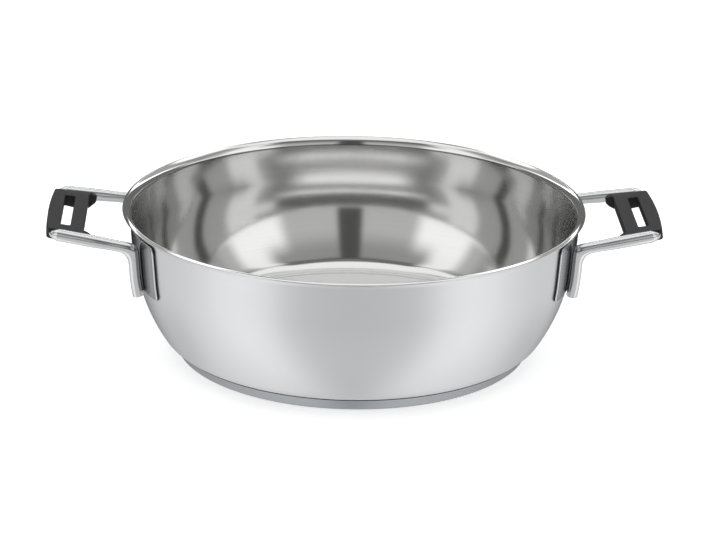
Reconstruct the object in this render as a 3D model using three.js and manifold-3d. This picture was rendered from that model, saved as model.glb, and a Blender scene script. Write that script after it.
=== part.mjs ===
// A two-handled stainless-steel serving pan with an encapsulated base.
// Millimetres, +Z up. The origin is the centre of the base's underside, and X runs from handle to handle.
import * as THREE from "three";
import { mergeVertices } from "three/addons/utils/BufferGeometryUtils.js";
import Module from "manifold-3d";

// Driving dimensions of the bowl
const LIP_DIAMETER = 292; // over the pouring lip
const HEIGHT = 95; // base underside to the top of the lip
const SHEET = 1; // drawn steel sheet
const LIP_BEND = 5.5; // radius of the lip's underside
const LIP_TURN = 88; // degrees from vertical where the lip ends
const WALL_TAPER = 4; // degrees that the upper wall leans out
const CONE_HEIGHT = 23; // straight tapered zone under the lip
const BELLY_RADIUS = 110; // outer curve of the lower wall
const FLOOR_FILLET = 15; // outer curve from the wall into the floor
const FLOOR_UNDERSIDE = 7.3; // height of the bowl's own floor

// Driving dimensions of the base
const CAP_SHEET = 0.7; // magnetic steel under the core
const CAP_RISE = 0.9; // how far the cap climbs past the bowl's floor
const CAP_CORNER = 4; // radius round the underside
const CAP_LEAN = 30; // degrees that the cap's side leans out

// Driving dimensions of the mounting plates
const PLATE_WIDTH = 44;
const PLATE_HEIGHT = 35.5;
const PLATE_THICKNESS = 1.5;
const PLATE_CORNER = 4;
const PLATE_DROP = 0.6; // below the start of the lip's bend

// Driving dimensions of the handle bows
const ROD_RADIUS = 3.5; // legs and necks
const ARM_RADIUS = 3.9; // beside the grip
const LEG_SPREAD = 96; // between the two legs, at the elbows
const BAR_SPREAD = 83; // between the arms, at the cross bar
const BOW_REACH = 50.3; // elbow to cross bar, along the arms' plane
const BOW_TILT = 8.5; // degrees that the arms rise outwards
const ELBOW_DROP = 7; // below the plate's top edge
const ELBOW_THROAT = 7.5; // radius inside the elbow
const ELBOW_HEEL = 8; // exponent of the elbow's outer corner: higher is sharper
const LEG_OVERHANG = 2.5; // below the plate's bottom edge
const NECK_END = 12; // where the neck starts to swell, from the elbow
const SWELL_END = 27; // where the arm is full
const BAR_BEND = 4.5; // radius between arm and cross bar
const BAR_HALF_WIDTH = 2.2;
const BAR_HALF_HEIGHT = 1.6;
const BAR_DROP = 0.8; // the bar lies this far below the arms' plane
const END_CHAMFER = 0.6; // round the feet of the legs

// Driving dimensions of the grips, along the arms' plane from the elbows
const GRIP_START = 31.5; // inner edge
const GRIP_DEPTH = 24.1; // inner edge to the crown of the outer edge
const GRIP_CROWN = 1.5; // bow of the outer edge
const GRIP_TOP = 2.6; // above the arms' centre lines
const GRIP_BOTTOM = 6; // below them, at the inner edge
const GRIP_RISE = 2; // how much thinner the grip is at its outer edge, on the underside
const GRIP_EDGE = 0.8; // rounding of the grip's edges
const GRIP_SEAT = 2.6; // the grip reaches this near an arm's centre line
const OUTER_CORNER = 3; // radius at the outer corners
const CLAW_LENGTH = 4.8; // claws that reach along the arms, towards the bowl
const CLAW_WIDTH = 6.4;
const CLAW_RISE = 1.5; // how much thinner a claw is at its tip, on the underside
const CLAW_FILLET = 2.2; // between claw and inner edge
const SLOT_START = 8.8; // from the grip's inner edge
const SLOT_WIDTH = 6.2;
const SLOT_LENGTH = 55.8;
const SLOT_CORNER = 1.2;

// Clearances
const SEAT_GAP = 0.3; // between pieces that are welded, bonded or moulded together

// Facets
const ROUND_STEPS = 80; // round the bowl
const ROD_SIDES = 14;
const LIP_STEPS = 5;
const BELLY_STEPS = 7;
const FILLET_STEPS = 4;
const CAP_STEPS = 4;
const PLATE_STEPS = 6;
const ELBOW_STEPS = 7;
const BEND_STEPS = 5;
const LEG_STEPS = 3;
const CORNER_STEPS = 3;

const wasm = await Module();
wasm.setup();

const radians = THREE.MathUtils.degToRad;
const point = (r, z) => new THREE.Vector2(r, z);

// Closed solids for cutting, and back again
function solidOf(geometry) {
  const bare = geometry.clone();
  bare.deleteAttribute("normal");
  bare.deleteAttribute("uv");
  const merged = mergeVertices(bare, 1e-4);
  return new wasm.Manifold(
    new wasm.Mesh({
      numProp: 3,
      vertProperties: new Float32Array(merged.attributes.position.array),
      triVerts: new Uint32Array(merged.index.array),
    }),
  );
}

function geometryOf(solid) {
  const mesh = solid.getMesh();
  const geometry = new THREE.BufferGeometry();
  geometry.setAttribute("position", new THREE.BufferAttribute(mesh.vertProperties, 3));
  geometry.setIndex(new THREE.BufferAttribute(mesh.triVerts, 1));
  geometry.computeVertexNormals();
  return geometry;
}

// A profile of (radius, height) points turned about Z
function turned(profile) {
  return new THREE.LatheGeometry(profile, ROUND_STEPS).rotateX(Math.PI / 2);
}

// An arc of (radius, height) points. Angles are from the outward horizontal, positive upwards.
function arc(centre, radius, from, to, steps) {
  return Array.from({ length: steps + 1 }, (_, i) => {
    const angle = from + ((to - from) * i) / steps;
    return point(centre.x + radius * Math.cos(angle), centre.y + radius * Math.sin(angle));
  });
}

// The bowl's outer face: lip, cone, belly and floor fillet, each tangent to the next
const taper = radians(WALL_TAPER);
const lipTurn = radians(LIP_TURN);
const lipTopBend = LIP_BEND + SHEET;
const lipStart = HEIGHT - lipTopBend * (Math.sin(lipTurn) - Math.sin(taper)) - SHEET * Math.sin(taper);
const lipReach = LIP_BEND * (Math.cos(taper) - Math.cos(lipTurn));
const wallTop = point(LIP_DIAMETER / 2 - lipReach, lipStart);
const lipCentre = point(wallTop.x + LIP_BEND * Math.cos(taper), wallTop.y - LIP_BEND * Math.sin(taper));
const coneEnd = point(wallTop.x - CONE_HEIGHT * Math.tan(taper), wallTop.y - CONE_HEIGHT);
const bellyCentre = point(
  coneEnd.x - BELLY_RADIUS * Math.cos(taper),
  coneEnd.y + BELLY_RADIUS * Math.sin(taper),
);
const filletHeight = FLOOR_UNDERSIDE + FLOOR_FILLET;
const bellyEnd = Math.asin((bellyCentre.y - filletHeight) / (BELLY_RADIUS - FLOOR_FILLET));
const floorRadius = bellyCentre.x + (BELLY_RADIUS - FLOOR_FILLET) * Math.cos(bellyEnd);
const filletCentre = point(floorRadius, filletHeight);

// The bowl's face at a depth inside the outer one, from the floor's centre up to the end of the lip
function bowlFace(depth) {
  return [
    point(0, FLOOR_UNDERSIDE + depth),
    ...arc(filletCentre, FLOOR_FILLET - depth, -Math.PI / 2, -bellyEnd, FILLET_STEPS),
    ...arc(bellyCentre, BELLY_RADIUS - depth, -bellyEnd, -taper, BELLY_STEPS).slice(1),
    ...arc(lipCentre, LIP_BEND + depth, Math.PI - taper, Math.PI - lipTurn, LIP_STEPS),
  ];
}

// A point at a distance outside the bowl's wall, on the cone or the belly
function wallPoint(height, distance) {
  if (height >= coneEnd.y) {
    const radius = coneEnd.x + (height - coneEnd.y) * Math.tan(taper);
    return point(radius + distance / Math.cos(taper), height);
  }
  const reach = BELLY_RADIUS + distance;
  const drop = bellyCentre.y - height;
  return point(bellyCentre.x + Math.sqrt(reach * reach - drop * drop), height);
}

function makeBowl() {
  return turned([...bowlFace(0), ...bowlFace(SHEET).reverse()]);
}

// The base cap's outer face at a depth inside it, from the axis up to a height
const capLean = radians(CAP_LEAN);
const capTop = FLOOR_UNDERSIDE + CAP_RISE;
const capTouch = Math.acos(1 - CAP_RISE / FLOOR_FILLET);
const capInside = floorRadius + FLOOR_FILLET * Math.sin(capTouch) + SEAT_GAP / Math.sin(capTouch + capLean);
const capOutside = capInside + CAP_SHEET / Math.cos(capLean);
const cornerRise = CAP_CORNER * (1 - Math.sin(capLean));
const cornerReach = CAP_CORNER * Math.cos(capLean);
const capFlat = capOutside - (capTop - cornerRise) * Math.tan(capLean) - cornerReach;
const capCorner = point(capFlat, CAP_CORNER);

function capFace(depth, top) {
  const side = capOutside - (capTop - top) * Math.tan(capLean) - depth / Math.cos(capLean);
  return [
    point(0, depth),
    ...arc(capCorner, CAP_CORNER - depth, -Math.PI / 2, -capLean, CAP_STEPS),
    point(side, top),
  ];
}

function makeCap() {
  return turned([...capFace(0, capTop), ...capFace(CAP_SHEET, capTop).reverse()]);
}

function makeCore() {
  const top = FLOOR_UNDERSIDE - SEAT_GAP;
  return turned([...capFace(CAP_SHEET + SEAT_GAP, top), point(0, top)]);
}

// A rectangle with round corners, centred on a point
function roundedRectangle(path, x, y, width, height, corner) {
  const [left, right] = [x - width / 2, x + width / 2];
  const [low, high] = [y - height / 2, y + height / 2];
  path.moveTo(left + corner, low);
  path.lineTo(right - corner, low);
  path.absarc(right - corner, low + corner, corner, -Math.PI / 2, 0);
  path.lineTo(right, high - corner);
  path.absarc(right - corner, high - corner, corner, 0, Math.PI / 2);
  path.lineTo(left + corner, high);
  path.absarc(left + corner, high - corner, corner, Math.PI / 2, Math.PI);
  path.lineTo(left, low + corner);
  path.absarc(left + corner, low + corner, corner, Math.PI, 1.5 * Math.PI);
  return path;
}

// A mounting plate on the +X side: a ring that lies on the wall, cut to a rounded rectangle
const plateTop = lipStart - PLATE_DROP;
const plateBottom = plateTop - PLATE_HEIGHT;

function makePlate() {
  const step = PLATE_HEIGHT / PLATE_STEPS;
  const heights = Array.from({ length: PLATE_STEPS + 1 }, (_, i) => plateBottom + step * i);
  const outside = heights.map((z) => wallPoint(z, SEAT_GAP + PLATE_THICKNESS));
  const inside = heights.map((z) => wallPoint(z, SEAT_GAP)).reverse();
  const ring = turned([...outside, ...inside, outside[0]]);
  const outline = new THREE.Shape();
  roundedRectangle(outline, 0, plateTop - PLATE_HEIGHT / 2, PLATE_WIDTH, PLATE_HEIGHT, PLATE_CORNER);
  const cutter = new THREE.ExtrudeGeometry(outline, {
    depth: LIP_DIAMETER,
    bevelEnabled: false,
    curveSegments: CORNER_STEPS,
  });
  cutter.applyMatrix4(
    new THREE.Matrix4().makeBasis(
      new THREE.Vector3(0, 1, 0),
      new THREE.Vector3(0, 0, 1),
      new THREE.Vector3(1, 0, 0),
    ),
  );
  return geometryOf(solidOf(ring).intersect(solidOf(cutter)));
}

// The plane of a handle's arms: u runs outwards and up, y across, h square to both
const legDistance = SEAT_GAP + PLATE_THICKNESS + SEAT_GAP + ROD_RADIUS;
const elbowHeight = plateTop - ELBOW_DROP;
const legAngle = Math.asin(LEG_SPREAD / 2 / wallPoint(elbowHeight, legDistance).x);
const tilt = radians(BOW_TILT);
const alongArms = new THREE.Vector3(Math.cos(tilt), 0, Math.sin(tilt));
const across = new THREE.Vector3(0, 1, 0);
const abovePlane = new THREE.Vector3(-Math.sin(tilt), 0, Math.cos(tilt));
const legFoot = plateBottom - LEG_OVERHANG;
const planeOrigin = legPoint(elbowHeight).setY(0);
const planeFrame = new THREE.Matrix4()
  .makeBasis(alongArms, across, abovePlane)
  .setPosition(planeOrigin);

function legPoint(height) {
  const onWall = wallPoint(height, legDistance);
  return new THREE.Vector3(onWall.x * Math.cos(legAngle), -onWall.x * Math.sin(legAngle), height);
}

function inPlane(u, y, h = 0) {
  return new THREE.Vector3(u, y, h).applyMatrix4(planeFrame);
}

// Distance of an arm's centre line from the middle of the handle
function armSpread(u) {
  return (LEG_SPREAD + ((BAR_SPREAD - LEG_SPREAD) * u) / BOW_REACH) / 2;
}

// One elliptical ring of a bow: up is made square to the tangent, and across points out of the loop
function ring(centre, tangent, upwards, halfWidth, halfHeight) {
  const t = tangent.clone().normalize();
  const up = upwards.clone().addScaledVector(t, -upwards.dot(t)).normalize();
  return { centre, across: t.cross(up), up, halfWidth, halfHeight };
}

function legRings(towardsWall, elbowFoot) {
  const radius = (z) => (z === legFoot ? ROD_RADIUS - END_CHAMFER : ROD_RADIUS);
  const start = legFoot + END_CHAMFER;
  const steps = Array.from({ length: LEG_STEPS }, (_, i) => start + ((elbowFoot - start) * i) / LEG_STEPS);
  return [legFoot, ...steps].map((z) => {
    const tangent = legPoint(z + SHEET).sub(legPoint(z));
    return ring(legPoint(z), tangent, towardsWall, radius(z), radius(z));
  });
}

// The elbow keeps a round throat below and fills out to a heel above, inside the corner of leg and arm
function elbowRings(legUp, armOut, corner) {
  const turn = legUp.angleTo(armOut);
  const middle = ELBOW_THROAT + ROD_RADIUS;
  const inwards = armOut.clone().sub(legUp).normalize();
  const centre = corner.clone().addScaledVector(inwards, middle / Math.cos(turn / 2));
  const towardsWall = armOut.clone().addScaledVector(legUp, -armOut.dot(legUp)).normalize().negate();
  const rings = Array.from({ length: ELBOW_STEPS + 1 }, (_, i) => {
    const angle = (turn * i) / ELBOW_STEPS;
    const out = towardsWall.clone().multiplyScalar(Math.cos(angle)).addScaledVector(legUp, Math.sin(angle));
    const along = legUp.clone().multiplyScalar(Math.cos(angle));
    const tangent = along.addScaledVector(towardsWall, -Math.sin(angle));
    const near = Math.cos(angle) ** ELBOW_HEEL + Math.cos(turn - angle) ** ELBOW_HEEL;
    const heel = (middle + ROD_RADIUS) / near ** (1 / ELBOW_HEEL);
    const place = centre.clone().addScaledVector(out, (heel + ELBOW_THROAT) / 2);
    return ring(place, tangent, out, ROD_RADIUS, (heel - ELBOW_THROAT) / 2);
  });
  return { rings, towardsWall, tangentLength: middle * Math.tan(turn / 2) };
}

// The bend from an arm into the cross bar, where the section flattens
function bendRings() {
  const corner = new THREE.Vector2(BOW_REACH, -BAR_SPREAD / 2);
  const armOut = corner.clone().sub(new THREE.Vector2(0, -LEG_SPREAD / 2)).normalize();
  const turn = Math.PI / 2 - Math.atan2(armOut.y, armOut.x);
  const outside = new THREE.Vector2(armOut.y, -armOut.x);
  const centre = corner
    .clone()
    .addScaledVector(armOut, -BAR_BEND * Math.tan(turn / 2))
    .addScaledVector(outside, -BAR_BEND);
  return Array.from({ length: BEND_STEPS + 1 }, (_, i) => {
    const share = i / BEND_STEPS;
    const angle = turn * share;
    const out = outside.clone().multiplyScalar(Math.cos(angle)).addScaledVector(armOut, Math.sin(angle));
    const place = centre.clone().addScaledVector(out, BAR_BEND);
    const tangent = new THREE.Vector3(-out.y, out.x, 0).transformDirection(planeFrame);
    const halfWidth = THREE.MathUtils.lerp(ARM_RADIUS, BAR_HALF_WIDTH, share);
    const halfHeight = THREE.MathUtils.lerp(ARM_RADIUS, BAR_HALF_HEIGHT, share);
    return ring(inPlane(place.x, place.y, -BAR_DROP * share), tangent, abovePlane, halfWidth, halfHeight);
  });
}

// The front half of a bow, from the foot of the leg to the cross bar, and its mirror image
function bowRings() {
  const corner = legPoint(elbowHeight);
  const legUp = corner.clone().sub(legPoint(elbowHeight - SHEET)).normalize();
  const armOut = inPlane(BOW_REACH, -BAR_SPREAD / 2).sub(corner).normalize();
  const elbow = elbowRings(legUp, armOut, corner);
  const leg = legRings(elbow.towardsWall, elbowHeight - elbow.tangentLength * legUp.z);
  const arm = [
    [NECK_END, ROD_RADIUS],
    [SWELL_END, ARM_RADIUS],
  ].map(([u, radius]) => ring(inPlane(u, -armSpread(u)), armOut, abovePlane, radius, radius));
  const front = [...leg, ...elbow.rings, ...arm, ...bendRings()];
  const mirrored = (v) => new THREE.Vector3(v.x, -v.y, v.z);
  const rear = front.map((r) => ({
    ...r,
    centre: mirrored(r.centre),
    across: mirrored(r.across),
    up: mirrored(r.up),
  }));
  return [...front, ...rear.reverse()];
}

// Skins a row of rings, each grown by a margin, and closes both ends
function loft(rings, margin) {
  const vertices = rings.flatMap((r) =>
    Array.from({ length: ROD_SIDES }, (_, i) => {
      const angle = (2 * Math.PI * i) / ROD_SIDES;
      return r.centre
        .clone()
        .addScaledVector(r.across, (r.halfWidth + margin) * Math.cos(angle))
        .addScaledVector(r.up, (r.halfHeight + margin) * Math.sin(angle));
    }),
  );
  const last = rings.length - 1;
  const [startCentre, endCentre] = [vertices.length, vertices.length + 1];
  vertices.push(rings[0].centre, rings[last].centre);
  const faces = [];
  for (let i = 0; i < ROD_SIDES; i++) {
    const next = (i + 1) % ROD_SIDES;
    faces.push(startCentre, i, next);
    faces.push(endCentre, last * ROD_SIDES + next, last * ROD_SIDES + i);
    for (let row = 0; row < last; row++) {
      const [low, high] = [row * ROD_SIDES, (row + 1) * ROD_SIDES];
      faces.push(low + i, high + i, high + next);
      faces.push(low + i, high + next, low + next);
    }
  }
  const geometry = new THREE.BufferGeometry().setFromPoints(vertices);
  geometry.setIndex(faces);
  geometry.computeVertexNormals();
  return geometry;
}

function makeBow() {
  return loft(bowRings(), 0);
}

// The grip's outline in the arms' plane: claws, sides that lie against the arms, and a bowed outer edge
function gripOutline() {
  const inset = GRIP_EDGE;
  const inner = GRIP_START + inset;
  const tip = GRIP_START - CLAW_LENGTH + inset;
  const outer = GRIP_START + GRIP_DEPTH - inset;
  const side = (u) => armSpread(u) - GRIP_SEAT - inset;
  const clawInside = (u) => armSpread(u) - GRIP_SEAT - CLAW_WIDTH + inset;
  const clawRadius = (CLAW_WIDTH - 2 * inset) / 2;
  const clawMiddle = side(tip + clawRadius) - clawRadius;
  const cornerStart = outer - GRIP_CROWN - OUTER_CORNER;
  const cornerSide = side(cornerStart) - OUTER_CORNER;
  const half = new THREE.Path();
  half.moveTo(inner, 0);
  half.lineTo(inner, clawInside(inner) - CLAW_FILLET);
  half.quadraticCurveTo(inner, clawInside(inner), inner - CLAW_FILLET, clawInside(inner - CLAW_FILLET));
  half.absarc(tip + clawRadius, clawMiddle, clawRadius, -Math.PI / 2, -1.5 * Math.PI, true);
  half.lineTo(cornerStart, side(cornerStart));
  half.quadraticCurveTo(outer - GRIP_CROWN, side(cornerStart), outer - GRIP_CROWN, cornerSide);
  half.quadraticCurveTo(outer, cornerSide / 2, outer, 0);
  const points = half.getPoints(CORNER_STEPS);
  const mirrored = points.slice(1, -1).map((p) => point(p.x, -p.y));
  const shape = new THREE.Shape([...points, ...mirrored.reverse()]);
  const slot = new THREE.Path();
  const slotMiddle = GRIP_START + SLOT_START + SLOT_WIDTH / 2;
  const slotCorner = SLOT_CORNER + inset;
  roundedRectangle(slot, slotMiddle, 0, SLOT_WIDTH + 2 * inset, SLOT_LENGTH + 2 * inset, slotCorner);
  shape.holes.push(slot);
  return shape;
}

// The underside rises evenly from the grip's inner edge to its outer one and to the tips of its claws
function raiseUnderside(places) {
  for (let i = 0; i < places.count; i++) {
    if (places.getZ(i) < 0) {
      const out = places.getX(i) - GRIP_START;
      const rise = out > 0 ? (GRIP_RISE * out) / GRIP_DEPTH : (-CLAW_RISE * out) / CLAW_LENGTH;
      places.setZ(i, places.getZ(i) + rise);
    }
  }
}

function makeGrip() {
  const block = new THREE.ExtrudeGeometry(gripOutline(), {
    depth: GRIP_TOP + GRIP_BOTTOM - 2 * GRIP_EDGE,
    bevelThickness: GRIP_EDGE,
    bevelSize: GRIP_EDGE,
    bevelSegments: 2,
    curveSegments: CORNER_STEPS,
  });
  block.translate(0, 0, GRIP_EDGE - GRIP_BOTTOM);
  raiseUnderside(block.attributes.position);
  block.applyMatrix4(planeFrame);
  const bow = loft(bowRings(), SEAT_GAP);
  return geometryOf(solidOf(block).subtract(solidOf(bow)));
}

// Finishes
const satinSteel = new THREE.MeshStandardMaterial({ color: 0xc6c8ca, roughness: 0.3, metalness: 1 });
const capSteel = new THREE.MeshStandardMaterial({ color: 0xb4b8bc, roughness: 0.35, metalness: 1 });
const castAluminium = new THREE.MeshStandardMaterial({ color: 0xbfc1c2, roughness: 0.5, metalness: 1 });
const polishedSteel = new THREE.MeshStandardMaterial({ color: 0xd8dadc, roughness: 0.1, metalness: 1 });
const blackGrip = new THREE.MeshStandardMaterial({ color: 0x2a2a2b, roughness: 0.6, metalness: 0 });

function piece(name, geometry, material) {
  const mesh = new THREE.Mesh(geometry, material);
  mesh.name = name;
  return mesh;
}

// One handle with its two plates, on the +X side of its group
function makeHandle(side, frontSign) {
  const handle = new THREE.Group();
  handle.add(piece(`${side}_handle_bow`, makeBow(), polishedSteel));
  handle.add(piece(`${side}_handle_grip`, makeGrip(), blackGrip));
  for (const [place, sign] of [["front", -frontSign], ["rear", frontSign]]) {
    const plate = piece(`${side}_${place}_plate`, makePlate(), polishedSteel);
    plate.rotation.z = sign * legAngle;
    handle.add(plate);
  }
  return handle;
}

const pan = new THREE.Group();
pan.add(piece("pan_body", makeBowl(), satinSteel));
pan.add(piece("base_core", makeCore(), castAluminium));
pan.add(piece("base_cap", makeCap(), capSteel));
pan.add(makeHandle("right", 1));
const leftHandle = makeHandle("left", -1);
leftHandle.rotation.z = Math.PI;
pan.add(leftHandle);

export default pan;
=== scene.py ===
import bpy
import math
from mathutils import Matrix, Vector


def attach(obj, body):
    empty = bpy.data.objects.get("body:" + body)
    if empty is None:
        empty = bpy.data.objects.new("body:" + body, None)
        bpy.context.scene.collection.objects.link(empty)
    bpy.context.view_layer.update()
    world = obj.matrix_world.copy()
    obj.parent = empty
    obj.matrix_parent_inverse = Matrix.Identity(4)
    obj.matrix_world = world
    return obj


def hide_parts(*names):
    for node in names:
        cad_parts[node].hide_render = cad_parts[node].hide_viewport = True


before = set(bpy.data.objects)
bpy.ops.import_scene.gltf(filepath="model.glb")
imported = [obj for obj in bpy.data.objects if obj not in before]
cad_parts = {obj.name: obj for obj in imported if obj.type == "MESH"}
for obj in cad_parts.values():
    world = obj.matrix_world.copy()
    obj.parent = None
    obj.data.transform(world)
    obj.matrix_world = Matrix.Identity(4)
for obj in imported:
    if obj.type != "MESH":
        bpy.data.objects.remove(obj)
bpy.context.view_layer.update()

# Bowl
# One drawn stainless sheet, 1 mm thick: a flat floor, a round belly, a tapered wall and a lip that
# flares out for pouring, with its edge rolled over and buffed. It was ground satin outside and polished
# inside while it turned on a spindle.
LIP_RADIUS = 0.146
PAN_HEIGHT = 0.095
SHEET = 0.001
LIP_BEND = 0.0055
LIP_TURN = math.radians(88)
LIP_CREST = 0.0012
LIP_SLOPE = 0.006
CREST_START = math.radians(66)
SLOPE_START = math.radians(112)
SLOPE_END = math.radians(126)
WALL_TAPER = math.radians(4)
CONE_HEIGHT = 0.023
BELLY_RADIUS = 0.11
FLOOR_FILLET = 0.015
FLOOR_UNDERSIDE = 0.0073
ROUND_STEPS = 256
FLAT_SHARE = 0.6
RIM_FACING = 0.2
MERGE = 1e-6

lip_rise = (LIP_BEND + SHEET) * (math.sin(LIP_TURN) - math.sin(WALL_TAPER)) + SHEET * math.sin(WALL_TAPER)
wall_top = PAN_HEIGHT - lip_rise
wall_top_radius = LIP_RADIUS - LIP_BEND * (math.cos(WALL_TAPER) - math.cos(LIP_TURN))
lip_centre = (wall_top_radius + LIP_BEND * math.cos(WALL_TAPER), wall_top - LIP_BEND * math.sin(WALL_TAPER))
cone_end = wall_top - CONE_HEIGHT
cone_end_radius = wall_top_radius - CONE_HEIGHT * math.tan(WALL_TAPER)
belly_centre = (
    cone_end_radius - BELLY_RADIUS * math.cos(WALL_TAPER),
    cone_end + BELLY_RADIUS * math.sin(WALL_TAPER),
)
fillet_height = FLOOR_UNDERSIDE + FLOOR_FILLET
belly_end = math.asin((belly_centre[1] - fillet_height) / (BELLY_RADIUS - FLOOR_FILLET))
floor_radius = belly_centre[0] + (BELLY_RADIUS - FLOOR_FILLET) * math.cos(belly_end)
fillet_centre = (floor_radius, fillet_height)
crest_centre = Vector(lip_centre) + Vector((-math.cos(CREST_START), math.sin(CREST_START))) * (
    LIP_BEND + SHEET - LIP_CREST
)
slope_centre = crest_centre + Vector((-math.cos(SLOPE_START), math.sin(SLOPE_START))) * (
    LIP_CREST - LIP_SLOPE
)


def arc(centre, radius, start, end, steps):
    """Points (radius, height) of an arc. Angles are from the outward horizontal, positive upwards."""
    angles = [start + (end - start) * i / steps for i in range(steps + 1)]
    return [(centre[0] + radius * math.cos(a), centre[1] + radius * math.sin(a)) for a in angles]


def bowl_face(depth):
    """The bowl's face at a depth inside the outer one, from the floor's centre to the end of the lip."""
    floor = [(0.0, FLOOR_UNDERSIDE + depth), (FLAT_SHARE * floor_radius, FLOOR_UNDERSIDE + depth)]
    fillet = arc(fillet_centre, FLOOR_FILLET - depth, -math.pi / 2, -belly_end, 16)
    belly = arc(belly_centre, BELLY_RADIUS - depth, -belly_end, -WALL_TAPER, 28)
    lip = arc(lip_centre, LIP_BEND + depth, math.pi - WALL_TAPER, math.pi - CREST_START, 14)
    crest = arc(crest_centre, LIP_CREST - SHEET + depth, math.pi - CREST_START, math.pi - SLOPE_START, 8)
    slope = arc(slope_centre, LIP_SLOPE - SHEET + depth, math.pi - SLOPE_START, math.pi - SLOPE_END, 5)
    return floor + fillet + belly[1:] + lip + crest[1:] + slope[1:]


def spun(name, profile):
    """A piece spun on a spindle: one point is drawn along the profile, and the line is spun about Z."""
    bpy.ops.object.select_all(action="DESELECT")
    bpy.ops.mesh.primitive_plane_add(size=SHEET, location=(profile[0][0], 0, profile[0][1]))
    piece = bpy.context.object
    piece.name = name
    bpy.ops.object.transform_apply()
    bpy.ops.object.mode_set(mode="EDIT")
    bpy.ops.mesh.select_all(action="SELECT")
    bpy.ops.mesh.merge(type="CENTER")
    for near, far in zip(profile, profile[1:]):
        step = (far[0] - near[0], 0, far[1] - near[1])
        bpy.ops.mesh.extrude_vertices_move(TRANSFORM_OT_translate={"value": step})
    bpy.ops.mesh.select_all(action="SELECT")
    bpy.ops.mesh.spin(steps=ROUND_STEPS, angle=2 * math.pi, center=(0, 0, 0), axis=(0, 0, 1))
    bpy.ops.mesh.select_all(action="SELECT")
    bpy.ops.mesh.remove_doubles(threshold=MERGE)
    bpy.ops.mesh.normals_make_consistent(inside=False)
    bpy.ops.object.mode_set(mode="OBJECT")
    bpy.ops.object.shade_smooth_by_angle(angle=math.radians(40))
    return piece


outside = bowl_face(0)
inside = bowl_face(SHEET)
lip_edge = ((outside[-1][0] + inside[-1][0]) / 2, (outside[-1][1] + inside[-1][1]) / 2)
edge_round = arc(lip_edge, SHEET / 2, -SLOPE_END, math.pi - SLOPE_END, 8)
bowl = spun("bowl", outside + edge_round[1:-1] + inside[::-1])


def linear(hex_colour):
    """An sRGB hex colour as a linear RGBA."""
    shares = [int(hex_colour[i : i + 2], 16) / 255 for i in (1, 3, 5)]
    return [s / 12.92 if s <= 0.04045 else ((s + 0.055) / 1.055) ** 2.4 for s in shares] + [1.0]


def add(tree, kind, links=None, **settings):
    """Adds a node. Settings are its properties or its inputs' values, and links feed its inputs."""
    node = tree.nodes.new(kind)
    for key, value in settings.items():
        if hasattr(node, key):
            setattr(node, key, value)
        else:
            node.inputs[key.replace("_", " ")].default_value = value
    for key, output in (links or {}).items():
        tree.links.new(output, node.inputs[key])
    return node


def spindle_marks(tree, spacing, reach):
    """Noise in fine rings about the upright axis, spacing apart, each mark running for about reach."""
    place = add(tree, "ShaderNodeTexCoord").outputs["Object"]
    parts = add(tree, "ShaderNodeSeparateXYZ", {"Vector": place}).outputs
    flat = add(tree, "ShaderNodeVectorMath", {0: place}, operation="MULTIPLY")
    flat.inputs[1].default_value = (1, 1, 0)
    radius = add(tree, "ShaderNodeVectorMath", {0: flat.outputs[0]}, operation="LENGTH")
    heading = add(tree, "ShaderNodeVectorMath", {0: flat.outputs[0]}, operation="NORMALIZE")
    turn = add(tree, "ShaderNodeVectorMath", {0: heading.outputs[0]}, operation="SCALE")
    turn.inputs["Scale"].default_value = LIP_RADIUS / reach
    travel = add(tree, "ShaderNodeMath", {0: radius.outputs["Value"], 1: parts["Z"]}, operation="ADD")
    rings = add(tree, "ShaderNodeMath", {0: travel.outputs[0]}, operation="DIVIDE")
    rings.inputs[1].default_value = spacing
    lift = add(tree, "ShaderNodeCombineXYZ", {"Z": rings.outputs[0]})
    where = add(tree, "ShaderNodeVectorMath", {0: turn.outputs[0], 1: lift.outputs[0]}, operation="ADD")
    return add(tree, "ShaderNodeTexNoise", {"Vector": where.outputs[0]}, Scale=1.0, Detail=2.0)


# Stainless steel, ground satin with a fine belt: rings too fine to see blur what it mirrors, most of
# all up and down the wall. The real grit is about 0.1 mm apart, and is drawn 0.9 mm apart to show.
satin = bpy.data.materials.new("stainless_ground_satin")
satin.use_nodes = True
tree = satin.node_tree
shader = tree.nodes["Principled BSDF"]
shader.inputs["Base Color"].default_value = linear("#D9DADB")
shader.inputs["Metallic"].default_value = 1.0
shader.inputs["Anisotropic"].default_value = 0.5
shader.inputs["Anisotropic Rotation"].default_value = 0.25
marks = spindle_marks(tree, 0.0009, 0.05)
grit = add(tree, "ShaderNodeMapRange", {"Value": marks.outputs["Fac"]}, To_Min=0.37, To_Max=0.43)
tree.links.new(grit.outputs["Result"], shader.inputs["Roughness"])
bump = add(tree, "ShaderNodeBump", {"Height": marks.outputs["Fac"]}, Strength=0.05, Distance=0.0002)
tree.links.new(bump.outputs["Normal"], shader.inputs["Normal"])
around = add(tree, "ShaderNodeTangent", direction_type="RADIAL", axis="Z")
tree.links.new(around.outputs["Tangent"], shader.inputs["Tangent"])

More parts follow.
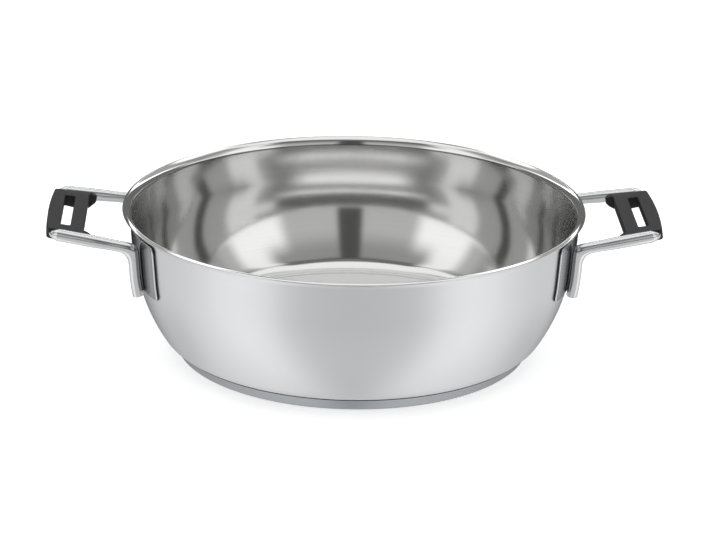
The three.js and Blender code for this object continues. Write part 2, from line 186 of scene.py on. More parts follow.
# Stainless steel, polished with a mop on the spindle: close to a mirror, drawn out a little up and
# down by rings that are left from the polishing. They are finer than 0.3 mm, and are drawn 1.2 mm
# apart to show.
polished_inside = bpy.data.materials.new("stainless_mop_polished")
polished_inside.use_nodes = True
tree = polished_inside.node_tree
shader = tree.nodes["Principled BSDF"]
shader.inputs["Metallic"].default_value = 1.0
shader.inputs["Anisotropic"].default_value = 0.3
shader.inputs["Anisotropic Rotation"].default_value = 0.25
marks = spindle_marks(tree, 0.0012, 0.08)
tone = add(tree, "ShaderNodeMix", {"Factor": marks.outputs["Fac"]}, data_type="RGBA")
tone.inputs["A"].default_value = linear("#D3D3D2")
tone.inputs["B"].default_value = linear("#D9D9D8")
tree.links.new(tone.outputs["Result"], shader.inputs["Base Color"])
grit = add(tree, "ShaderNodeMapRange", {"Value": marks.outputs["Fac"]}, To_Min=0.09, To_Max=0.12)
tree.links.new(grit.outputs["Result"], shader.inputs["Roughness"])
bump = add(tree, "ShaderNodeBump", {"Height": marks.outputs["Fac"]}, Strength=0.01, Distance=0.0002)
tree.links.new(bump.outputs["Normal"], shader.inputs["Normal"])
around = add(tree, "ShaderNodeTangent", direction_type="RADIAL", axis="Z")
tree.links.new(around.outputs["Tangent"], shader.inputs["Tangent"])

# Stainless steel, buffed by hand along the rim after the edge was rolled: a cleaner mirror than the
# rest. The wheel's marks are about 0.1 mm apart, and are drawn 0.6 mm apart to show.
buffed_rim = bpy.data.materials.new("stainless_buffed_rim")
buffed_rim.use_nodes = True
tree = buffed_rim.node_tree
shader = tree.nodes["Principled BSDF"]
shader.inputs["Base Color"].default_value = linear("#D6D6D5")
shader.inputs["Metallic"].default_value = 1.0
marks = spindle_marks(tree, 0.0006, 0.03)
grit = add(tree, "ShaderNodeMapRange", {"Value": marks.outputs["Fac"]}, To_Min=0.03, To_Max=0.06)
tree.links.new(grit.outputs["Result"], shader.inputs["Roughness"])

bowl.data.materials.append(satin)
bowl.data.materials.append(polished_inside)
bowl.data.materials.append(buffed_rim)
for face in bowl.data.polygons:
    outwards = Vector((face.center.x, face.center.y, 0)).normalized()
    if face.center.z > lip_edge[1] and face.normal.z > RIM_FACING:
        face.material_index = 2
    elif face.normal.z - face.normal.dot(outwards) > 0:
        face.material_index = 1
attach(bowl, "root")
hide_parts("pan_body")

# Base capsule and core
# A dish of magnetic steel, 0.7 mm thick, is pressed and soldered over an aluminium disc under the
# floor. Its leaning side shows as a darker band, with a dark seam where it meets the bowl.
CAP_SHEET = 0.0007
CAP_RISE = 0.0009
CAP_CORNER = 0.004
CAP_LEAN = math.radians(30)
SEAM = 0.0003

cap_top = FLOOR_UNDERSIDE + CAP_RISE
cap_touch = math.acos(1 - CAP_RISE / FLOOR_FILLET)
cap_inside = floor_radius + FLOOR_FILLET * math.sin(cap_touch) + SEAM / math.sin(cap_touch + CAP_LEAN)
cap_outside = cap_inside + CAP_SHEET / math.cos(CAP_LEAN)
corner_rise = CAP_CORNER * (1 - math.sin(CAP_LEAN))
corner_reach = CAP_CORNER * math.cos(CAP_LEAN)
cap_flat = cap_outside - (cap_top - corner_rise) * math.tan(CAP_LEAN) - corner_reach


def cap_face(depth):
    """The capsule's face at a depth inside the outer one, from the axis to the top of its side."""
    floor = [(0.0, depth), (FLAT_SHARE * cap_flat, depth)]
    corner = arc((cap_flat, CAP_CORNER), CAP_CORNER - depth, -math.pi / 2, -CAP_LEAN, 12)
    side = cap_outside - depth / math.cos(CAP_LEAN)
    return floor + corner + [(side, cap_top)]


capsule = spun("base_capsule", cap_face(0) + cap_face(CAP_SHEET)[::-1])

# Magnetic stainless steel, turned: darker and greyer than the bowl, with turning rings that show.
# The real feed is about 0.2 mm, and is drawn 1.5 mm apart to show.
turned_steel = bpy.data.materials.new("magnetic_steel_turned")
turned_steel.use_nodes = True
tree = turned_steel.node_tree
shader = tree.nodes["Principled BSDF"]
shader.inputs["Base Color"].default_value = linear("#A3A7AB")
shader.inputs["Metallic"].default_value = 1.0
marks = spindle_marks(tree, 0.0015, 0.2)
grit = add(tree, "ShaderNodeMapRange", {"Value": marks.outputs["Fac"]}, To_Min=0.26, To_Max=0.36)
tree.links.new(grit.outputs["Result"], shader.inputs["Roughness"])
bump = add(tree, "ShaderNodeBump", {"Height": marks.outputs["Fac"]}, Strength=0.1, Distance=0.0002)
tree.links.new(bump.outputs["Normal"], shader.inputs["Normal"])
capsule.data.materials.append(turned_steel)
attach(capsule, "root")
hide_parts("base_cap")

# Rolled aluminium, sealed in the base: dull, with the rolling's faint streaks along one way.
# The streaks are about 1 mm wide and 40 mm long.
rolled = bpy.data.materials.new("aluminium_rolled")
rolled.use_nodes = True
tree = rolled.node_tree
shader = tree.nodes["Principled BSDF"]
shader.inputs["Base Color"].default_value = linear("#C3C5C6")
shader.inputs["Metallic"].default_value = 1.0
place = add(tree, "ShaderNodeTexCoord")
stretch = add(tree, "ShaderNodeMapping", {"Vector": place.outputs["Object"]}, Scale=(25, 1000, 25))
streaks = add(tree, "ShaderNodeTexNoise", {"Vector": stretch.outputs["Vector"]}, Scale=1.0)
dull = add(tree, "ShaderNodeMapRange", {"Value": streaks.outputs["Fac"]}, To_Min=0.4, To_Max=0.6)
tree.links.new(dull.outputs["Result"], shader.inputs["Roughness"])
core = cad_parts["base_core"]
core.data.materials.clear()
core.data.materials.append(rolled)

# Mounting plates
# Four pressed stainless plates, 1.5 mm thick with rounded corners and a round shoulder outside, lie on
# the wall and are spot-welded to it. Each carries one leg of a handle bow.
PLATE_WIDTH = 0.044
PLATE_HEIGHT = 0.0355
PLATE_THICKNESS = 0.0015
PLATE_CORNER = 0.004
PLATE_DROP = 0.0006
PLATE_SHOULDER = 0.0007
BLANK_DEPTH = 0.08
SIDE_FACING = 0.2
FRONT_FACING = 0.97
LEG_SPREAD = 0.096
ROD_RADIUS = 0.0035
ELBOW_DROP = 0.007

plate_top = wall_top - PLATE_DROP
plate_bottom = plate_top - PLATE_HEIGHT
leg_distance = SEAM + PLATE_THICKNESS + SEAM + ROD_RADIUS
elbow_height = plate_top - ELBOW_DROP


def wall_radius(height, distance):
    """Radius at a distance outside the bowl's wall, on the cone or the belly."""
    if height >= cone_end:
        return cone_end_radius + (height - cone_end) * math.tan(WALL_TAPER) + distance / math.cos(WALL_TAPER)
    return belly_centre[0] + math.sqrt((BELLY_RADIUS + distance) ** 2 - (belly_centre[1] - height) ** 2)


leg_angle = math.asin(LEG_SPREAD / 2 / wall_radius(elbow_height, leg_distance))
levels = [plate_bottom + PLATE_HEIGHT * i / 24 for i in range(25)]
plate_outside = [(wall_radius(z, SEAM + PLATE_THICKNESS), z) for z in levels]
plate_inside = [(wall_radius(z, SEAM), z) for z in levels]
plate = spun("plate", plate_outside + plate_inside[::-1] + plate_outside[:1])

bpy.ops.object.select_all(action="DESELECT")
bpy.ops.mesh.primitive_cube_add(size=1, location=(LIP_RADIUS, 0, plate_top - PLATE_HEIGHT / 2))
blank = bpy.context.object
blank.dimensions = (BLANK_DEPTH, PLATE_WIDTH, PLATE_HEIGHT)
bpy.ops.object.transform_apply(location=True, rotation=True, scale=True)
for edge in blank.data.edges:
    ends = [blank.data.vertices[i].co for i in edge.vertices]
    edge.select = abs(ends[0].x - ends[1].x) > PLATE_THICKNESS
bpy.ops.object.mode_set(mode="EDIT")
bpy.ops.mesh.select_mode(type="EDGE")
bpy.ops.mesh.bevel(offset=PLATE_CORNER, segments=8, affect="EDGES")
bpy.ops.object.mode_set(mode="OBJECT")


def cut(piece, tool, operation):
    """Cuts a piece with a tool, which is then thrown away."""
    bpy.ops.object.select_all(action="DESELECT")
    bpy.context.view_layer.objects.active = piece
    piece.select_set(True)
    bpy.ops.object.modifier_add(type="BOOLEAN")
    piece.modifiers[-1].operation = operation
    piece.modifiers[-1].solver = "EXACT"
    piece.modifiers[-1].object = tool
    bpy.ops.object.modifier_apply(modifier=piece.modifiers[-1].name)
    bpy.data.objects.remove(tool)


cut(plate, blank, "INTERSECT")
bpy.ops.object.mode_set(mode="EDIT")
bpy.ops.mesh.select_mode(type="EDGE")
bpy.ops.mesh.select_all(action="DESELECT")
bpy.ops.mesh.edges_select_sharp(sharpness=math.radians(50))
bpy.ops.object.mode_set(mode="OBJECT")
for edge in plate.data.edges:
    for end in (plate.data.vertices[i].co for i in edge.vertices):
        if math.hypot(end.x, end.y) < wall_radius(end.z, SEAM + PLATE_THICKNESS / 2):
            edge.select = False
bpy.ops.object.mode_set(mode="EDIT")
bpy.ops.mesh.bevel(offset=PLATE_SHOULDER, segments=5, affect="EDGES")
bpy.ops.object.mode_set(mode="OBJECT")
bpy.ops.object.modifier_add(type="WEIGHTED_NORMAL")
bpy.ops.object.modifier_apply(modifier=plate.modifiers[-1].name)

# Stainless steel, mop-polished to a soft mirror: it shows the room a little blurred, with a faint haze
# of hairlines. The hairlines are about 0.05 mm wide, and are drawn 0.5 mm wide to show.
mirror_steel = bpy.data.materials.new("stainless_mirror_polished")
mirror_steel.use_nodes = True
tree = mirror_steel.node_tree
shader = tree.nodes["Principled BSDF"]
shader.inputs["Base Color"].default_value = linear("#D2D3D4")
shader.inputs["Metallic"].default_value = 1.0
place = add(tree, "ShaderNodeTexCoord")
stretch = add(tree, "ShaderNodeMapping", {"Vector": place.outputs["Object"]}, Scale=(200, 2000, 2000))
haze = add(tree, "ShaderNodeTexNoise", {"Vector": stretch.outputs["Vector"]}, Scale=1.0, Detail=3.0)
clean = add(tree, "ShaderNodeMapRange", {"Value": haze.outputs["Fac"]}, To_Min=0.15, To_Max=0.23)
tree.links.new(clean.outputs["Result"], shader.inputs["Roughness"])
plate.data.materials.clear()
plate.data.materials.append(mirror_steel)

# Stainless steel, cut on a shear: the plates' cut sides were never polished and stay rough. Their colour is
# painted near black, as a painted shadow line along the plate's edge.
# The shear's upright score marks are about 0.3 mm apart.
sheared_painted_shadow = bpy.data.materials.new("stainless_sheared_edge_painted_shadow")
sheared_painted_shadow.use_nodes = True
tree = sheared_painted_shadow.node_tree
shader = tree.nodes["Principled BSDF"]
# Painted shade: near black, for the shadow line at the plate's edge.
shader.inputs["Base Color"].default_value = linear("#3C3D3E")
shader.inputs["Metallic"].default_value = 1.0
place = add(tree, "ShaderNodeTexCoord")
scores = add(tree, "ShaderNodeTexNoise", {"Vector": place.outputs["Object"]}, Scale=3300.0, Detail=2.0)
torn = add(tree, "ShaderNodeMapRange", {"Value": scores.outputs["Fac"]}, To_Min=0.35, To_Max=0.55)
tree.links.new(torn.outputs["Result"], shader.inputs["Roughness"])
plate.data.materials.append(sheared_painted_shadow)

# Stainless steel, pressed and tumble-finished: a duller face than the bows have. Its grey is painted
# reflection: the face is coloured far darker than steel to stand in for the dark leg and gap that it
# mirrors.
# The tumbling's fine dents are about 0.2 mm wide, and are drawn 1 mm wide to show.
tumbled_painted_reflection = bpy.data.materials.new("stainless_tumbled_painted_reflection")
tumbled_painted_reflection.use_nodes = True
tree = tumbled_painted_reflection.node_tree
shader = tree.nodes["Principled BSDF"]
# Painted reflection: a dark grey for the leg and gap that the face mirrors.
shader.inputs["Base Color"].default_value = linear("#8A8C8E")
shader.inputs["Metallic"].default_value = 1.0
place = add(tree, "ShaderNodeTexCoord")
dents = add(tree, "ShaderNodeTexNoise", {"Vector": place.outputs["Object"]}, Scale=1000.0, Detail=2.0)
worn = add(tree, "ShaderNodeMapRange", {"Value": dents.outputs["Fac"]}, To_Min=0.14, To_Max=0.22)
tree.links.new(worn.outputs["Result"], shader.inputs["Roughness"])
plate.data.materials.append(tumbled_painted_reflection)
# The plates' cut sides take the painted shadow colour, and their broad faces take the painted dark
# reflection.
for face in plate.data.polygons:
    outwards = Vector((face.center.x, face.center.y, 0)).normalized()
    facing = abs(face.normal.dot(outwards))
    if facing < SIDE_FACING:
        face.material_index = 1
    elif facing > FRONT_FACING:
        face.material_index = 2


def copy_turned(piece, name, angle):
    """A copy of a piece with a mesh of its own, turned about the upright axis."""
    made = piece.copy()
    made.data = piece.data.copy()
    made.name = name
    bpy.context.scene.collection.objects.link(made)
    made.data.transform(Matrix.Rotation(angle, 4, "Z"))
    return made


for name, angle in [
    ("right_front", -leg_angle),
    ("right_rear", leg_angle),
    ("left_front", math.pi + leg_angle),
    ("left_rear", math.pi - leg_angle),
]:
    seated = copy_turned(plate, "mount_" + name, angle)
    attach(seated, "root")
    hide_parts(name + "_plate")
bpy.data.objects.remove(plate)

# Handle bows
# Each bow is one polished stainless rod: two legs that follow the wall and are welded to the plates,
# elbows with a round throat and a full heel, arms that swell and draw together, and a hidden bar.
ARM_RADIUS = 0.0039
BAR_SPREAD = 0.083
BOW_REACH = 0.0503
BOW_TILT = math.radians(8.5)
ELBOW_THROAT = 0.0075
ELBOW_HEEL = 8
LEG_OVERHANG = 0.0025
NECK_END = 0.012
SWELL_END = 0.027
BAR_BEND = 0.0045
BAR_HALF_WIDTH = 0.0022
BAR_HALF_HEIGHT = 0.0016
BAR_DROP = 0.0008
FOOT_ROUND = 0.0006
ROD_SIDES = 40

along_arms = Vector((math.cos(BOW_TILT), 0, math.sin(BOW_TILT)))
above_plane = Vector((-math.sin(BOW_TILT), 0, math.cos(BOW_TILT)))
leg_foot = plate_bottom - LEG_OVERHANG


def leg_point(height):
    """Centre of the front leg at a height."""
    radius = wall_radius(height, leg_distance)
    return Vector((radius * math.cos(leg_angle), -radius * math.sin(leg_angle), height))


elbow_corner = leg_point(elbow_height)
plane_origin = Vector((elbow_corner.x, 0, elbow_corner.z))
plane_axes = Matrix((along_arms, (0, 1, 0), above_plane)).transposed()
plane_frame = Matrix.Translation(plane_origin) @ plane_axes.to_4x4()


def in_plane(u, y, h=0.0):
    """A point of the arms' plane: u outwards from the elbows, y across and h above it."""
    return plane_frame @ Vector((u, y, h))


def arm_spread(u):
    """Distance of an arm's centre line from the middle of the handle."""
    return (LEG_SPREAD + (BAR_SPREAD - LEG_SPREAD) * u / BOW_REACH) / 2


leg_up = (elbow_corner - leg_point(elbow_height - SHEET)).normalized()
arm_out = (in_plane(BOW_REACH, -BAR_SPREAD / 2) - elbow_corner).normalized()
elbow_turn = leg_up.angle(arm_out)
elbow_middle = ELBOW_THROAT + ROD_RADIUS
elbow_centre = elbow_corner + (arm_out - leg_up).normalized() * (elbow_middle / math.cos(elbow_turn / 2))
towards_wall = -(arm_out - leg_up * arm_out.dot(leg_up)).normalized()
elbow_foot = elbow_height - elbow_middle * math.tan(elbow_turn / 2) * leg_up.z

# Each ring has a centre, the way the rod runs, the way up, and its half width and half height
rings = []
for lift, inset in [(0, 1), (0.15, 0.48), (0.5, 0.13), (1, 0)]:
    radius = ROD_RADIUS - inset * FOOT_ROUND
    foot = leg_foot + lift * FOOT_ROUND
    rings.append((leg_point(foot), leg_point(foot + SHEET) - leg_point(foot), towards_wall, radius, radius))
for i in range(1, 10):
    height = leg_foot + FOOT_ROUND + (elbow_foot - leg_foot - FOOT_ROUND) * i / 10
    way = leg_point(height + SHEET) - leg_point(height)
    rings.append((leg_point(height), way, towards_wall, ROD_RADIUS, ROD_RADIUS))
for i in range(25):
    angle = elbow_turn * i / 24
    out = towards_wall * math.cos(angle) + leg_up * math.sin(angle)
    way = leg_up * math.cos(angle) - towards_wall * math.sin(angle)
    reach = math.cos(angle) ** ELBOW_HEEL + math.cos(elbow_turn - angle) ** ELBOW_HEEL
    heel = (elbow_middle + ROD_RADIUS) / reach ** (1 / ELBOW_HEEL)
    middle = elbow_centre + out * (heel + ELBOW_THROAT) / 2
    rings.append((middle, way, out, ROD_RADIUS, (heel - ELBOW_THROAT) / 2))
for i in range(11):
    share = i / 10
    u = NECK_END + (SWELL_END - NECK_END) * share
    radius = ROD_RADIUS + (ARM_RADIUS - ROD_RADIUS) * share * share * (3 - 2 * share)
    rings.append((in_plane(u, -arm_spread(u)), arm_out, above_plane, radius, radius))
arm_flat = Vector((BOW_REACH, (LEG_SPREAD - BAR_SPREAD) / 2)).normalized()
bend_turn = math.pi / 2 - math.atan2(arm_flat.y, arm_flat.x)
bend_outside = Vector((arm_flat.y, -arm_flat.x))
bend_start = Vector((BOW_REACH, -BAR_SPREAD / 2)) - arm_flat * BAR_BEND * math.tan(bend_turn / 2)
bend_centre = bend_start - bend_outside * BAR_BEND
for i in range(17):
    share = i / 16
    out = bend_outside * math.cos(bend_turn * share) + arm_flat * math.sin(bend_turn * share)
    middle = bend_centre + out * BAR_BEND
    centre = in_plane(middle.x, middle.y, -BAR_DROP * share)
    way = plane_axes @ Vector((-out.y, out.x, 0))
    half_width = ARM_RADIUS + (BAR_HALF_WIDTH - ARM_RADIUS) * share
    half_height = ARM_RADIUS + (BAR_HALF_HEIGHT - ARM_RADIUS) * share
    rings.append((centre, way, above_plane, half_width, half_height))
bar_middle = in_plane(BOW_REACH, 0, -BAR_DROP)
rings.append((bar_middle, Vector((0, 1, 0)), above_plane, BAR_HALF_WIDTH, BAR_HALF_HEIGHT))


def place_ring(ring):
    """Adds one ring of the rod to the mesh that is being edited."""
    centre, way, upwards, half_width, half_height = ring
    way = way.normalized()
    up = (upwards - way * upwards.dot(way)).normalized()
    turned = Matrix((way.cross(up), up, way.cross(up).cross(up))).transposed()
    bpy.ops.mesh.primitive_circle_add(
        vertices=ROD_SIDES, radius=half_width, location=centre, rotation=turned.to_euler()
    )
    bpy.ops.transform.resize(
        value=(1, half_height / half_width, 1),
        orient_matrix=turned,
        orient_matrix_type="GLOBAL",
        center_override=centre,
    )


bpy.ops.object.select_all(action="DESELECT")
bpy.ops.mesh.primitive_circle_add(vertices=ROD_SIDES, radius=SHEET, location=(0, 0, 0))
bow = bpy.context.object
bow.name = "bow"
bpy.ops.object.mode_set(mode="EDIT")
bpy.ops.mesh.select_mode(type="EDGE")
bpy.ops.mesh.select_all(action="SELECT")
bpy.ops.mesh.delete(type="VERT")
place_ring(rings[0])
bpy.ops.mesh.edge_face_add()
for ring in rings[1:]:
    place_ring(ring)
bpy.ops.object.mode_set(mode="OBJECT")
count = len(bow.data.vertices)
for row in range(len(rings) - 1):
    bpy.ops.object.mode_set(mode="EDIT")
    bpy.ops.mesh.select_all(action="DESELECT")
    bpy.ops.object.mode_set(mode="OBJECT")
    for edge in bow.data.edges:
        span = {i // ROD_SIDES for i in edge.vertices}
        edge.select = max(edge.vertices) < count and len(span) == 1 and span <= {row, row + 1}
    bpy.ops.object.mode_set(mode="EDIT")
    bpy.ops.mesh.bridge_edge_loops()
    bpy.ops.object.mode_set(mode="OBJECT")
bpy.ops.object.modifier_add(type="MIRROR")
bow.modifiers[-1].use_axis = (False, True, False)
bow.modifiers[-1].merge_threshold = 10 * MERGE
bpy.ops.object.modifier_apply(modifier=bow.modifiers[-1].name)
bpy.ops.object.mode_set(mode="EDIT")
bpy.ops.mesh.select_all(action="SELECT")
bpy.ops.mesh.remove_doubles(threshold=MERGE)
bpy.ops.mesh.normals_make_consistent(inside=False)
bpy.ops.object.mode_set(mode="OBJECT")
bpy.ops.object.shade_smooth_by_angle(angle=math.radians(40))
bow.data.materials.append(mirror_steel)
for name, angle in [("right", 0), ("left", math.pi)]:
    welded = copy_turned(bow, "bow_" + name, angle)
    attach(welded, "root")
    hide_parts(name + "_handle_bow")

# Grips
# Each grip is moulded in black glass-filled nylon round the bow's bar, with claws along the arms, a
# bowed outer edge and a slot through it.
GRIP_START = 0.0315
GRIP_DEPTH = 0.0241
GRIP_CROWN = 0.0015
GRIP_TOP = 0.0026
GRIP_BOTTOM = 0.006
GRIP_RISE = 0.002
GRIP_EDGE = 0.0008
GRIP_SEAT = 0.0026
OUTER_CORNER = 0.003
CLAW_LENGTH = 0.0048
CLAW_WIDTH = 0.0064
CLAW_RISE = 0.0015
CLAW_ROUND = 0.4
CLAW_FILLET = 0.0022
SLOT_START = 0.0088
SLOT_WIDTH = 0.0062
SLOT_LENGTH = 0.0558
SLOT_CORNER = 0.0012
MOULD_GAP = 0.0001


def curve(start, handle, end, steps):
    """Points of a quadratic curve after its start."""
    points = []
    for i in range(1, steps + 1):
        t = i / steps
        points.append(Vector(start) * (1 - t) ** 2 + Vector(handle) * 2 * t * (1 - t) + Vector(end) * t * t)
    return points


claw_tip = GRIP_START - CLAW_LENGTH
claw_radius = CLAW_WIDTH / 2
claw_centre = Vector((claw_tip + claw_radius, arm_spread(claw_tip + claw_radius) - GRIP_SEAT - claw_radius))
claw_inside = claw_centre.y - claw_radius
grip_outer = GRIP_START + GRIP_DEPTH
corner_start = grip_outer - GRIP_CROWN - OUTER_CORNER
corner_side = arm_spread(corner_start) - GRIP_SEAT
half_outline = [Vector((GRIP_START, 0)), Vector((GRIP_START, claw_inside - CLAW_FILLET))]
half_outline += curve(
    (GRIP_START, claw_inside - CLAW_FILLET),
    (GRIP_START, claw_inside),
    (GRIP_START - CLAW_FILLET, claw_inside),
    6,
)
for i in range(13):
    angle = -math.pi / 2 - math.pi * i / 12
    half_outline.append(claw_centre + Vector((math.cos(angle), math.sin(angle))) * claw_radius)
half_outline.append(Vector((corner_start, corner_side)))
half_outline += curve(
    (corner_start, corner_side),
    (grip_outer - GRIP_CROWN, corner_side),
    (grip_outer - GRIP_CROWN, corner_side - OUTER_CORNER),
    8,
)
half_outline += curve(
    (grip_outer - GRIP_CROWN, corner_side - OUTER_CORNER),
    (grip_outer, (corner_side - OUTER_CORNER) / 2),
    (grip_outer, 0),
    16,
)
outline = half_outline + [Vector((p.x, -p.y)) for p in half_outline[-2:0:-1]]
slot_ends = []
for corner_x, corner_y, start in [(1, 1, 0), (-1, 1, 0.5), (-1, -1, 1), (1, -1, 1.5)]:
    middle = Vector((GRIP_START + SLOT_START + SLOT_WIDTH / 2, 0))
    middle += Vector((corner_x * (SLOT_WIDTH / 2 - SLOT_CORNER), corner_y * (SLOT_LENGTH / 2 - SLOT_CORNER)))
    for i in range(7):
        angle = math.pi * (start + i / 12)
        slot_ends.append(middle + Vector((math.cos(angle), math.sin(angle))) * SLOT_CORNER)


def draw_loop(points, height):
    """Draws a closed loop of edges from one point, in the mesh that is being edited."""
    bpy.ops.mesh.primitive_plane_add(size=SHEET, location=(points[0].x, points[0].y, height))
    bpy.ops.mesh.merge(type="CENTER")
    for near, far in zip(points, points[1:]):
        step = (far.x - near.x, far.y - near.y, 0)
        bpy.ops.mesh.extrude_vertices_move(TRANSFORM_OT_translate={"value": step})


bpy.ops.object.select_all(action="DESELECT")
bpy.ops.mesh.primitive_plane_add(size=SHEET, location=(0, 0, 0))
grip = bpy.context.object
grip.name = "grip"
bpy.ops.object.mode_set(mode="EDIT")
bpy.ops.mesh.select_mode(type="VERT")
bpy.ops.mesh.select_all(action="SELECT")
bpy.ops.mesh.delete(type="VERT")
draw_loop(outline + outline[:1], GRIP_EDGE - GRIP_BOTTOM)
bpy.ops.mesh.select_all(action="DESELECT")
draw_loop(slot_ends + slot_ends[:1], GRIP_EDGE - GRIP_BOTTOM)
bpy.ops.mesh.select_all(action="SELECT")
bpy.ops.mesh.remove_doubles(threshold=MERGE)
bpy.ops.mesh.fill(use_beauty=True)
bpy.ops.mesh.select_all(action="SELECT")
side_height = GRIP_TOP + GRIP_BOTTOM - 2 * GRIP_EDGE
bpy.ops.mesh.extrude_region_move(TRANSFORM_OT_translate={"value": (0, 0, side_height)})
bpy.ops.mesh.select_all(action="SELECT")
bpy.ops.mesh.normals_make_consistent(inside=False)
for facing in (1, -1):
    bpy.ops.mesh.select_mode(type="FACE")
    bpy.ops.mesh.select_all(action="DESELECT")
    bpy.ops.object.mode_set(mode="OBJECT")
    for face in grip.data.polygons:
        face.select = face.normal.z * facing > 0.99
    bpy.ops.object.mode_set(mode="EDIT")
    for i in range(1, 6):
        near = math.pi / 2 * (i - 1) / 5
        far = math.pi / 2 * i / 5
        bpy.ops.mesh.inset(
            thickness=GRIP_EDGE * (math.cos(near) - math.cos(far)),
            depth=GRIP_EDGE * (math.sin(far) - math.sin(near)),
        )
bpy.ops.object.mode_set(mode="OBJECT")
for vertex in grip.data.vertices:
    out = vertex.co.x - GRIP_START
    if vertex.co.z < 0:
        vertex.co.z += GRIP_RISE * out / GRIP_DEPTH if out > 0 else -CLAW_RISE * out / CLAW_LENGTH
    if out < 0:
        vertex.co.z *= 1 - CLAW_ROUND * (out / CLAW_LENGTH) ** 2
grip.data.transform(plane_frame)

bpy.ops.object.select_all(action="DESELECT")
bpy.context.view_layer.objects.active = bow
bow.select_set(True)
bpy.ops.object.mode_set(mode="EDIT")
bpy.ops.mesh.select_all(action="SELECT")
bpy.ops.transform.shrink_fatten(value=MOULD_GAP)
bpy.ops.object.mode_set(mode="OBJECT")
cut(grip, bow, "DIFFERENCE")
bpy.ops.object.mode_set(mode="EDIT")
bpy.ops.mesh.select_all(action="SELECT")
bpy.ops.mesh.quads_convert_to_tris(quad_method="BEAUTY", ngon_method="BEAUTY")
bpy.ops.object.mode_set(mode="OBJECT")
bpy.ops.object.shade_smooth_by_angle(angle=math.radians(35))
bpy.ops.object.modifier_add(type="WEIGHTED_NORMAL")
grip.modifiers[-1].keep_sharp = True
bpy.ops.object.modifier_apply(modifier=grip.modifiers[-1].name)

# Glass-filled nylon, moulded in a spark-eroded tool: black with a soft grey sheen from a fine grain.
# The real grain is about 0.1 mm, and is drawn 0.9 mm wide to show.
nylon = bpy.data.materials.new("glass_filled_nylon_moulded")
nylon.use_nodes = True
tree = nylon.node_tree
shader = tree.nodes["Principled BSDF"]
shader.inputs["IOR"].default_value = 1.53
shader.inputs["Specular IOR Level"].default_value = 0.33
place = add(tree, "ShaderNodeTexCoord")
grain = add(tree, "ShaderNodeTexNoise", {"Vector": place.outputs["Object"]}, Scale=1100.0, Detail=2.0)
tone = add(tree, "ShaderNodeMix", {"Factor": grain.outputs["Fac"]}, data_type="RGBA")
tone.inputs["A"].default_value = linear("#0F0F10")
tone.inputs["B"].default_value = linear("#191919")
tree.links.new(tone.outputs["Result"], shader.inputs["Base Color"])
sheen = add(tree, "ShaderNodeMapRange", {"Value": grain.outputs["Fac"]}, To_Min=0.45, To_Max=0.62)
tree.links.new(sheen.outputs["Result"], shader.inputs["Roughness"])
bump = add(tree, "ShaderNodeBump", {"Height": grain.outputs["Fac"]}, Strength=0.6, Distance=0.0001)
tree.links.new(bump.outputs["Normal"], shader.inputs["Normal"])
grip.data.materials.clear()
grip.data.materials.append(nylon)
for name, angle in [("right", 0), ("left", math.pi)]:
    moulded = copy_turned(grip, "grip_" + name, angle)
    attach(moulded, "root")
    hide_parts(name + "_handle_grip")
bpy.data.objects.remove(grip)

# Table
# A wide white board, lit from below so that it stays white. The pan's steel mirrors the tent instead.
TABLE_SIZE = 8
TABLE_GLOW = 0.55

bpy.ops.object.select_all(action="DESELECT")
bpy.ops.mesh.primitive_plane_add(size=TABLE_SIZE, location=(0, 0, 0))
table = bpy.context.object
table.name = "table"
board = bpy.data.materials.new("white_board_matt")
board.use_nodes = True
shader = board.node_tree.nodes["Principled BSDF"]
shader.inputs["Base Color"].default_value = linear("#F4F4F4")
shader.inputs["Roughness"].default_value = 0.9
shader.inputs["Specular IOR Level"].default_value = 0.0
shader.inputs["Emission Color"].default_value = linear("#FFFFFF")
shader.inputs["Emission Strength"].default_value = TABLE_GLOW
table.data.materials.append(board)
table.visible_glossy = False
table.visible_shadow = False

# Light
# A white tent stands round the table, lit from outside: a wide soft box overhead, tall bright panels at
# both sides, dimmer cloth in front with a dark slit for the lens, and a strip and a panel behind.
tent = bpy.data.worlds.new("tent")
bpy.context.scene.world = tent
tent.use_nodes = True
tree = tent.node_tree
way = add(tree, "ShaderNodeTexCoord")
parts = add(tree, "ShaderNodeSeparateXYZ", {"Vector": way.outputs["Generated"]}).outputs
aside = add(tree, "ShaderNodeMath", {0: parts["X"]}, operation="ABSOLUTE")
ahead = add(tree, "ShaderNodeMath", {0: parts["Y"]}, operation="MULTIPLY")
ahead.inputs[1].default_value = -1
turn = add(tree, "ShaderNodeMath", {0: aside.outputs[0], 1: ahead.outputs[0]}, operation="ARCTAN2")
rise = add(tree, "ShaderNodeMath", {0: parts["Z"]}, operation="ARCSINE")

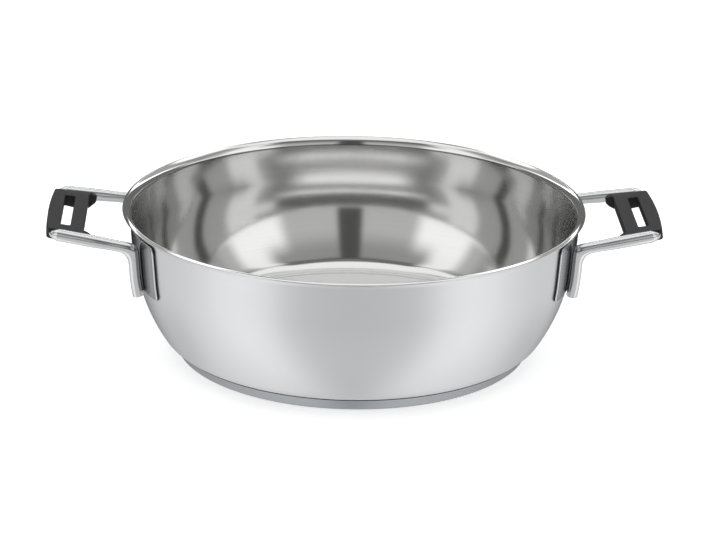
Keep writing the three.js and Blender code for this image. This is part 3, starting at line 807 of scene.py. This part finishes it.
# Each panel spans angles in degrees: a turn from the lens to either side, and a rise from level. Its four
# edges, two of turn and two of rise, each have a place and a softness, and last comes its radiance.
light = None
for *edges, radiance in [
    ((-90, 3), (270, 3), (66, 3), (180, 3), 1.21),
    ((-90, 3), (20, 8), (50, 4), (66, 3), 0.25),
    ((20, 8), (54, 6), (47, 3), (66, 3), 0.2),
    ((54, 6), (64, 6), (54, 3), (66, 3), 0.2),
    ((64, 6), (140, 15), (56, 3), (66, 3), 1.2),
    ((140, 15), (270, 3), (56, 3), (66, 3), 0.12),
    ((-90, 3), (7, 2), (8, 3), (50, 4), 0.1),
    ((7, 2), (40, 5), (8, 3), (32, 8), 0.62),
    ((7, 2), (54, 6), (32, 8), (47, 3), 0.38),
    ((40, 5), (74, 5), (8, 3), (32, 8), 1.3),
    ((54, 6), (74, 5), (32, 8), (54, 3), 1.2),
    ((74, 5), (86, 6), (16, 3), (56, 3), 0.6),
    ((86, 6), (112, 12), (16, 3), (56, 3), 0.38),
    ((74, 5), (98, 8), (8, 3), (16, 3), 1.3),
    ((112, 12), (270, 3), (25, 2), (56, 3), 0.5),
    ((112, 18), (270, 3), (41, 3), (56, 3), 1.35),
    ((110, 25), (270, 3), (21.5, 1.5), (25, 2), 3.2),
    ((98, 8), (270, 3), (-1, 3), (21.5, 1.5), 0.18),
    ((145, 10), (270, 3), (-30, 6), (-1, 3), 0.03),
    ((112, 6), (145, 10), (-30, 6), (-1, 3), 0.9),
    ((-90, 3), (43, 5), (-70, 5), (-1, 3), 0.73),
    ((-90, 3), (43, 5), (-180, 3), (-70, 5), 0.55),
    ((43, 5), (83, 6), (-180, 3), (-1, 3), 1.26),
    ((83, 6), (112, 6), (-180, 3), (-1, 3), 0.95),
    ((112, 6), (270, 3), (-180, 3), (-30, 6), 0.58),
    ((105, 6), (270, 3), (-75, 6), (-45, 6), 0.25),
]:
    glow = None
    for angle, (edge, soft), way_in in zip([turn, turn, rise, rise], edges, [1, -1, 1, -1]):
        inwards = soft * way_in
        window = add(
            tree,
            "ShaderNodeMapRange",
            {"Value": angle.outputs[0]},
            interpolation_type="SMOOTHSTEP",
            From_Min=math.radians(edge - inwards),
            From_Max=math.radians(edge + inwards),
            To_Max=radiance if glow is None else 1.0,
        )
        if glow is None:
            glow = window
        else:
            both = {0: glow.outputs[0], 1: window.outputs[0]}
            glow = add(tree, "ShaderNodeMath", both, operation="MULTIPLY")
    if light is None:
        light = glow
    else:
        light = add(tree, "ShaderNodeMath", {0: light.outputs[0], 1: glow.outputs[0]}, operation="ADD")
tree.nodes["Background"].inputs["Color"].default_value = linear("#FFFFFF")
tree.links.new(light.outputs[0], tree.nodes["Background"].inputs["Strength"])

# Camera
# A long lens, 1.85 m from the pan and 20 degrees above the table. The polished inside mirrors itself
# many times over, so light may bounce often.
TARGET = Vector((0.00313, -0.00013, 0.05033))
DISTANCE = 1.85
AZIMUTH = math.radians(-2.3)
ELEVATION = math.radians(20.02)
ROLL = math.radians(0.92)
FOCAL_PIXELS = 2905.6
FRAME_WIDTH = 716
MIRROR_BOUNCES = 24

back = Vector((
    math.sin(AZIMUTH) * math.cos(ELEVATION),
    -math.cos(AZIMUTH) * math.cos(ELEVATION),
    math.sin(ELEVATION),
))
right = Vector((math.cos(AZIMUTH), math.sin(AZIMUTH), 0))
up = back.cross(right)
rolled_right = right * math.cos(ROLL) + up * math.sin(ROLL)
rolled_up = up * math.cos(ROLL) - right * math.sin(ROLL)
bpy.ops.object.camera_add(location=TARGET + back * DISTANCE)
camera = bpy.context.object
camera.rotation_euler = Matrix((rolled_right, rolled_up, back)).transposed().to_euler()
camera.data.sensor_fit = "HORIZONTAL"
camera.data.lens = FOCAL_PIXELS * camera.data.sensor_width / FRAME_WIDTH
bpy.context.scene.camera = camera
bpy.context.scene.view_settings.view_transform = "Standard"
bpy.context.scene.cycles.max_bounces = MIRROR_BOUNCES
bpy.context.scene.cycles.glossy_bounces = MIRROR_BOUNCES
